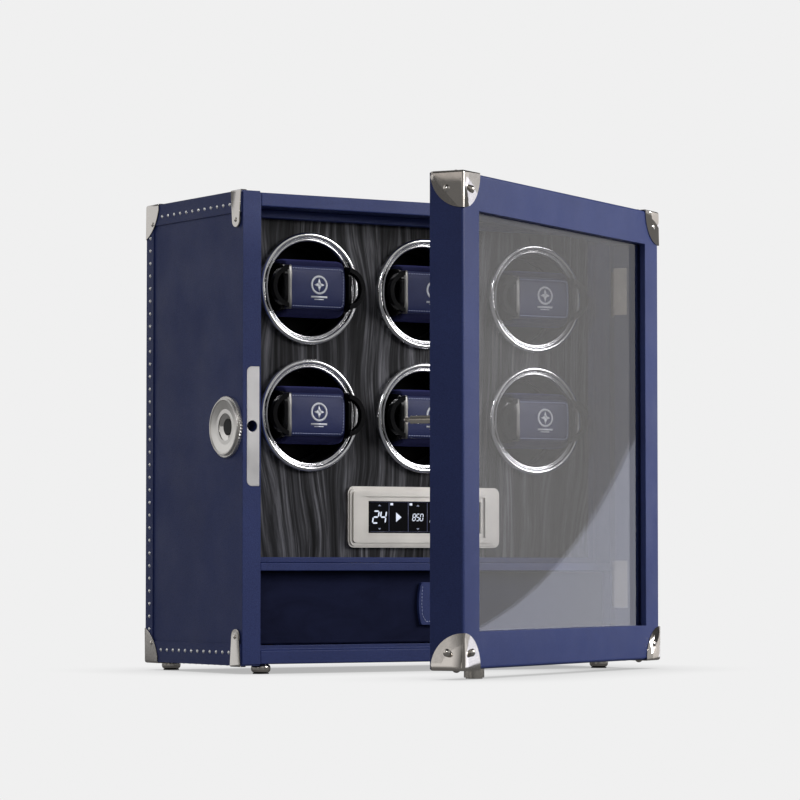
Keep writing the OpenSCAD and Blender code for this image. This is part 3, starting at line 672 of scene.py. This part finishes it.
PARTS = [("label", *label_mesh(), LABEL, "navy_leather"),
         ("label_stitches", *label_seam(), THREAD, "navy_leather"),
         ("emblem", *emblem_mesh(), FOIL, "satin_silver"),
         ("label_strip", *strip_mesh(), HOLDER, "satin_silver")]
for i in range(1, 7):
    low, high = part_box(f"watch_cushion_{i}")
    centre = (low + high) / 2
    pillow = bpy.data.objects.new(f"cushion_{i}", PILLOW_MESH.copy())
    bpy.context.scene.collection.objects.link(pillow)
    pillow.location = centre
    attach(pillow, f"holder_{i}")
    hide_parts(f"watch_cushion_{i}")
    for label, verts, faces, finish, slot_name in PARTS:
        made = piece(f"{label}_{i}", verts, faces, finish, None)
        made.location = centre
        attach(made, f"holder_{i}")


# ---------------------------------------------------------------- display
low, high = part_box("display_window")
face_y, left_x, mid_z, tall = low.y, low.x, (low.z + high.z) / 2, high.z - low.z
CELL_START, CELL = 2.3 * MM, 20.2 * MM
CELL_GAP = 0.7 * MM
FIGURES = ("24", "play", "850", "24", "play", "850")
SEGMENTS = {"0": "abcdef", "2": "abged", "4": "fgbc", "5": "afgcd", "8": "abcdefg"}
SEGMENT_ENDS = {"a": (0, 2, 1, 2), "b": (1, 2, 1, 1), "c": (1, 1, 1, 0), "d": (0, 0, 1, 0),
                "e": (0, 0, 0, 1), "f": (0, 1, 0, 2), "g": (0, 1, 1, 1)}


def digits(text, x, z, wide, tall_, stroke):
    """Leaning seven-segment figures, centred on x and z."""
    outlines = []
    lean = 0.14
    pitch = wide * 1.42
    start = x - pitch * (len(text) - 1) / 2
    for n, figure in enumerate(text):
        for seg in SEGMENTS[figure]:
            x0, z0, x1, z1 = SEGMENT_ENDS[seg]
            a = Vector(((x0 - 0.5) * wide, (z0 - 1) * tall_ / 2))
            b = Vector(((x1 - 0.5) * wide, (z1 - 1) * tall_ / 2))
            along = (b - a).normalized()
            side = Vector((-along.y, along.x)) * stroke / 2
            a, b = a + along * stroke * 0.25, b - along * stroke * 0.25
            corners = [a, a + along * stroke * 0.5 + side, b - along * stroke * 0.5 + side, b,
                       b - along * stroke * 0.5 - side, a + along * stroke * 0.5 - side]
            outlines.append([(start + n * pitch + c.x + c.y * lean, z + c.y) for c in corners])
    return outlines


def triangle(x, z, wide, tall_, way):
    ways = {"up": [(-1, 0), (1, 0), (0, 1)], "down": [(-1, 1), (0, 0), (1, 1)],
            "right": [(0, 1), (1.6, 0), (0, -1)]}
    return [[(x + a * wide / 2, z + b * tall_ / (2 if way == "right" else 1)) for a, b in ways[way]]]


def strip(x0, z0, x1, z1):
    return [[(x0, z0), (x1, z0), (x1, z1), (x0, z1)]]


lit, faint, dim = [], [], []
for k, kind in enumerate(FIGURES):
    x0 = left_x + CELL_START + CELL * k + CELL_GAP
    x1 = min(left_x + CELL_START + CELL * (k + 1) - CELL_GAP, high.x - 1.2 * MM)
    xm = (x0 + x1) / 2
    if kind == "play":
        lit += triangle(xm - 2.8 * MM, mid_z, 7.0 * MM, 8.5 * MM, "right")
    else:
        size = (5.4, 10.6, 1.3) if kind == "24" else (2.8, 6.0, 0.7)
        lit += digits(kind, xm, mid_z, *(s * MM for s in size))
        faint += triangle(xm, mid_z + tall / 2 - 4.4 * MM, 3.2 * MM, 1.4 * MM, "up")
        faint += triangle(xm, mid_z - tall / 2 + 3.0 * MM, 3.2 * MM, 1.4 * MM, "down")
    foot_z, head_z = mid_z - tall / 2 + 1.1 * MM, mid_z + tall / 2 - 0.8 * MM
    if k % 3:
        lit += strip(x0 + 0.6 * MM, head_z - 2.8 * MM, x0 + 3.4 * MM, head_z - 0.8 * MM)
    dim += strip(x0, foot_z, x1, foot_z + 0.35 * MM)
    dim += strip(x0, head_z - 0.2 * MM, x1, head_z)
    if k:
        dim += strip(x0 - 1.2 * MM, foot_z, x0 - 0.5 * MM, head_z)
print_y = face_y - 0.02 * MM
piece("display_figures", *prisms(lit, print_y, 0.12 * MM), LIT, "cabinet", "black_glass")
piece("display_arrows", *prisms(faint, print_y, 0.12 * MM), FAINT, "cabinet", "black_glass")
piece("display_lines", *prisms(dim, print_y, 0.08 * MM), DIM, "cabinet", "black_glass")

# ---------------------------------------------------------------- pull tab stitches
low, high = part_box("pull_tab")
mid_x = (low.x + high.x) / 2
seam_in = 3.2 * MM
left_side = [(-0.93, high.z - 3 * MM), (-0.97, high.z - 10 * MM), (-1, (low.z + high.z) / 2),
             (-0.95, low.z + 9 * MM), (-0.72, low.z + seam_in)]
turns = left_side + [(-share, z) for share, z in reversed(left_side)]
path = [(mid_x + (high.x - mid_x - seam_in) * share, low.y - 0.02 * MM, z) for share, z in turns]
stitches = stitch_row(path, pitch=2.9 * MM, length=2.1 * MM, radius=0.32 * MM)
piece("pull_tab_stitches", *stitches, THREAD, "drawer", "navy_leather")


# ---------------------------------------------------------------- stage, light and camera
def emitter(name, corners, tone, power):
    """A lit card, which the object reflects but the camera doesn't see."""
    mesh = bpy.data.meshes.new(name)
    mesh.from_pydata(corners, [], [tuple(range(len(corners)))])
    made = bpy.data.objects.new(name, mesh)
    bpy.context.scene.collection.objects.link(made)
    finish = bpy.data.materials.new(name)
    finish.use_nodes = True
    finish.node_tree.nodes.clear()
    lamp = node(finish.node_tree, "Emission", {"Color": (*tone, 1), "Strength": power})
    node(finish.node_tree, "OutputMaterial", {"Surface": lamp.outputs[0]})
    mesh.materials.append(finish)
    made.visible_camera = False
    made.visible_shadow = False


def area(name, place, aim, wide, tall_, power, tone):
    lamp = bpy.data.lights.new(name, "AREA")
    lamp.shape = "RECTANGLE"
    lamp.size, lamp.size_y = wide, tall_
    lamp.energy = power
    lamp.color = tone
    made = bpy.data.objects.new(name, lamp)
    bpy.context.scene.collection.objects.link(made)
    made.location = place
    made.rotation_euler = (Vector(aim) - Vector(place)).to_track_quat("-Z", "Y").to_euler()


# The floor and the air round it look the same pale paper to the camera, apart from a painted contact
# shadow near the object; PAPER_LIT is what the floor gives the object.
PAPER, PAPER_LIT = 0.871, 0.16
WIDE = 30
ground = bpy.data.meshes.new("floor")
ground.from_pydata([(-WIDE, -WIDE, 0), (WIDE, -WIDE, 0), (WIDE, WIDE, 0), (-WIDE, WIDE, 0)], [],
                   [(0, 1, 2, 3)])
floor = bpy.data.objects.new("floor", ground)
bpy.context.scene.collection.objects.link(floor)
finish = bpy.data.materials.new("floor_paper")
finish.use_nodes = True
tree = finish.node_tree
tree.nodes.clear()
# Painted contact shadow: ambient occlusion darkens the floor's emitted colour close to the object, with
# no lamp casting it.
painted_shadow_open_sky = node(tree, "AmbientOcclusion", {"Distance": 0.11}, samples=12).outputs["AO"]
shade = ramp(tree, painted_shadow_open_sky, (0.0, 0.50), (0.55, 0.84), (1.0, 1.0))
seen = node(tree, "LightPath").outputs["Is Camera Ray"]
power = math_node(tree, "MULTIPLY_ADD", seen, PAPER - PAPER_LIT, PAPER_LIT)
lamp = node(tree, "Emission", {"Color": shade, "Strength": power})
node(tree, "OutputMaterial", {"Surface": lamp.outputs[0]})
ground.materials.append(finish)

world = bpy.data.worlds.new("studio")
bpy.context.scene.world = world
world.use_nodes = True
tree = world.node_tree
tree.nodes.clear()
way = node(tree, "TexCoord").outputs["Generated"]
behind = vector_math(tree, "DOT_PRODUCT", way, (-0.45, 0.89, 0.0), "Value")
front = vector_math(tree, "DOT_PRODUCT", way, (0.25, -0.95, 0.15), "Value")
back_glow = ramp(tree, behind, (0.40, 0.05), (0.80, 0.80))
front_glow = ramp(tree, front, (0.50, 0.0), (0.95, 0.42))
soft = mix(tree, 1.0, back_glow, front_glow, "ADD")
room = node(tree, "Background", {"Color": soft, "Strength": 1.0})
plain = node(tree, "Background", {"Color": (PAPER, PAPER, PAPER, 1), "Strength": 1.0})
seen = node(tree, "LightPath").outputs["Is Camera Ray"]
both = node(tree, "MixShader", {"Fac": seen, 1: room.outputs[0], 2: plain.outputs[0]})
node(tree, "OutputWorld", {"Surface": both.outputs[0]})

area("key", (1.75, -1.45, 1.15), (0, -0.1, 0.22), 1.5, 1.2, 62, (1.0, 0.99, 0.98))
area("sparkle", (-1.5, -1.25, 1.25), (-0.1, 0, 0.25), 0.22, 0.22, 5.0, (0.97, 0.98, 1.0))


def upright(x, near, far, foot, head):
    """Corners of an upright card that faces along X."""
    return [(x, near, foot), (x, far, foot), (x, far, head), (x, near, head)]


def curve(start, pull, end, steps=24):
    """Points of a smooth bend from start to end, which sets out towards pull and ends away from it."""
    start, pull, end = Vector(start), Vector(pull), Vector(end)
    shares = [k / steps for k in range(steps + 1)]
    return [start.lerp(pull, t).lerp(pull.lerp(end, t), t) for t in shares]


emitter("card", upright(1.62, -1.5, 1.3, -0.02, 0.95), (1, 0.985, 0.98), 0.76)
emitter("left_card", upright(-1.8, -1.3, -0.4, 0.0, 1.2), (1, 0.96, 0.93), 0.6)
# The brighter card that the open door's glass reflects as a pale band with a curved edge
SWEEP = curve((-0.25, -0.02), (0.02, 0.03), (0.11, 0.46)) + [(0.7, 0.46), (0.7, -0.02)]
emitter("bright_card", [(1.60, y, z) for y, z in SWEEP], (0.93, 0.95, 1.06), 1.5)

look = Vector((0.0117, 0.0, 0.2457))
turn, tilt, reach = math.radians(31.68), math.radians(2.64), 3.318
camera = bpy.data.objects.new("camera", bpy.data.cameras.new("camera"))
bpy.context.scene.collection.objects.link(camera)
camera.data.sensor_width = 36
camera.data.lens = 162.75
level = Vector((-math.sin(turn), -math.cos(turn), 0)) * math.cos(tilt)
camera.location = look + reach * (level - Vector((0, 0, math.sin(tilt))))
camera.rotation_euler = (look - camera.location).to_track_quat("-Z", "Y").to_euler()
bpy.context.scene.camera = camera
bpy.context.scene.view_settings.view_transform = "Standard"
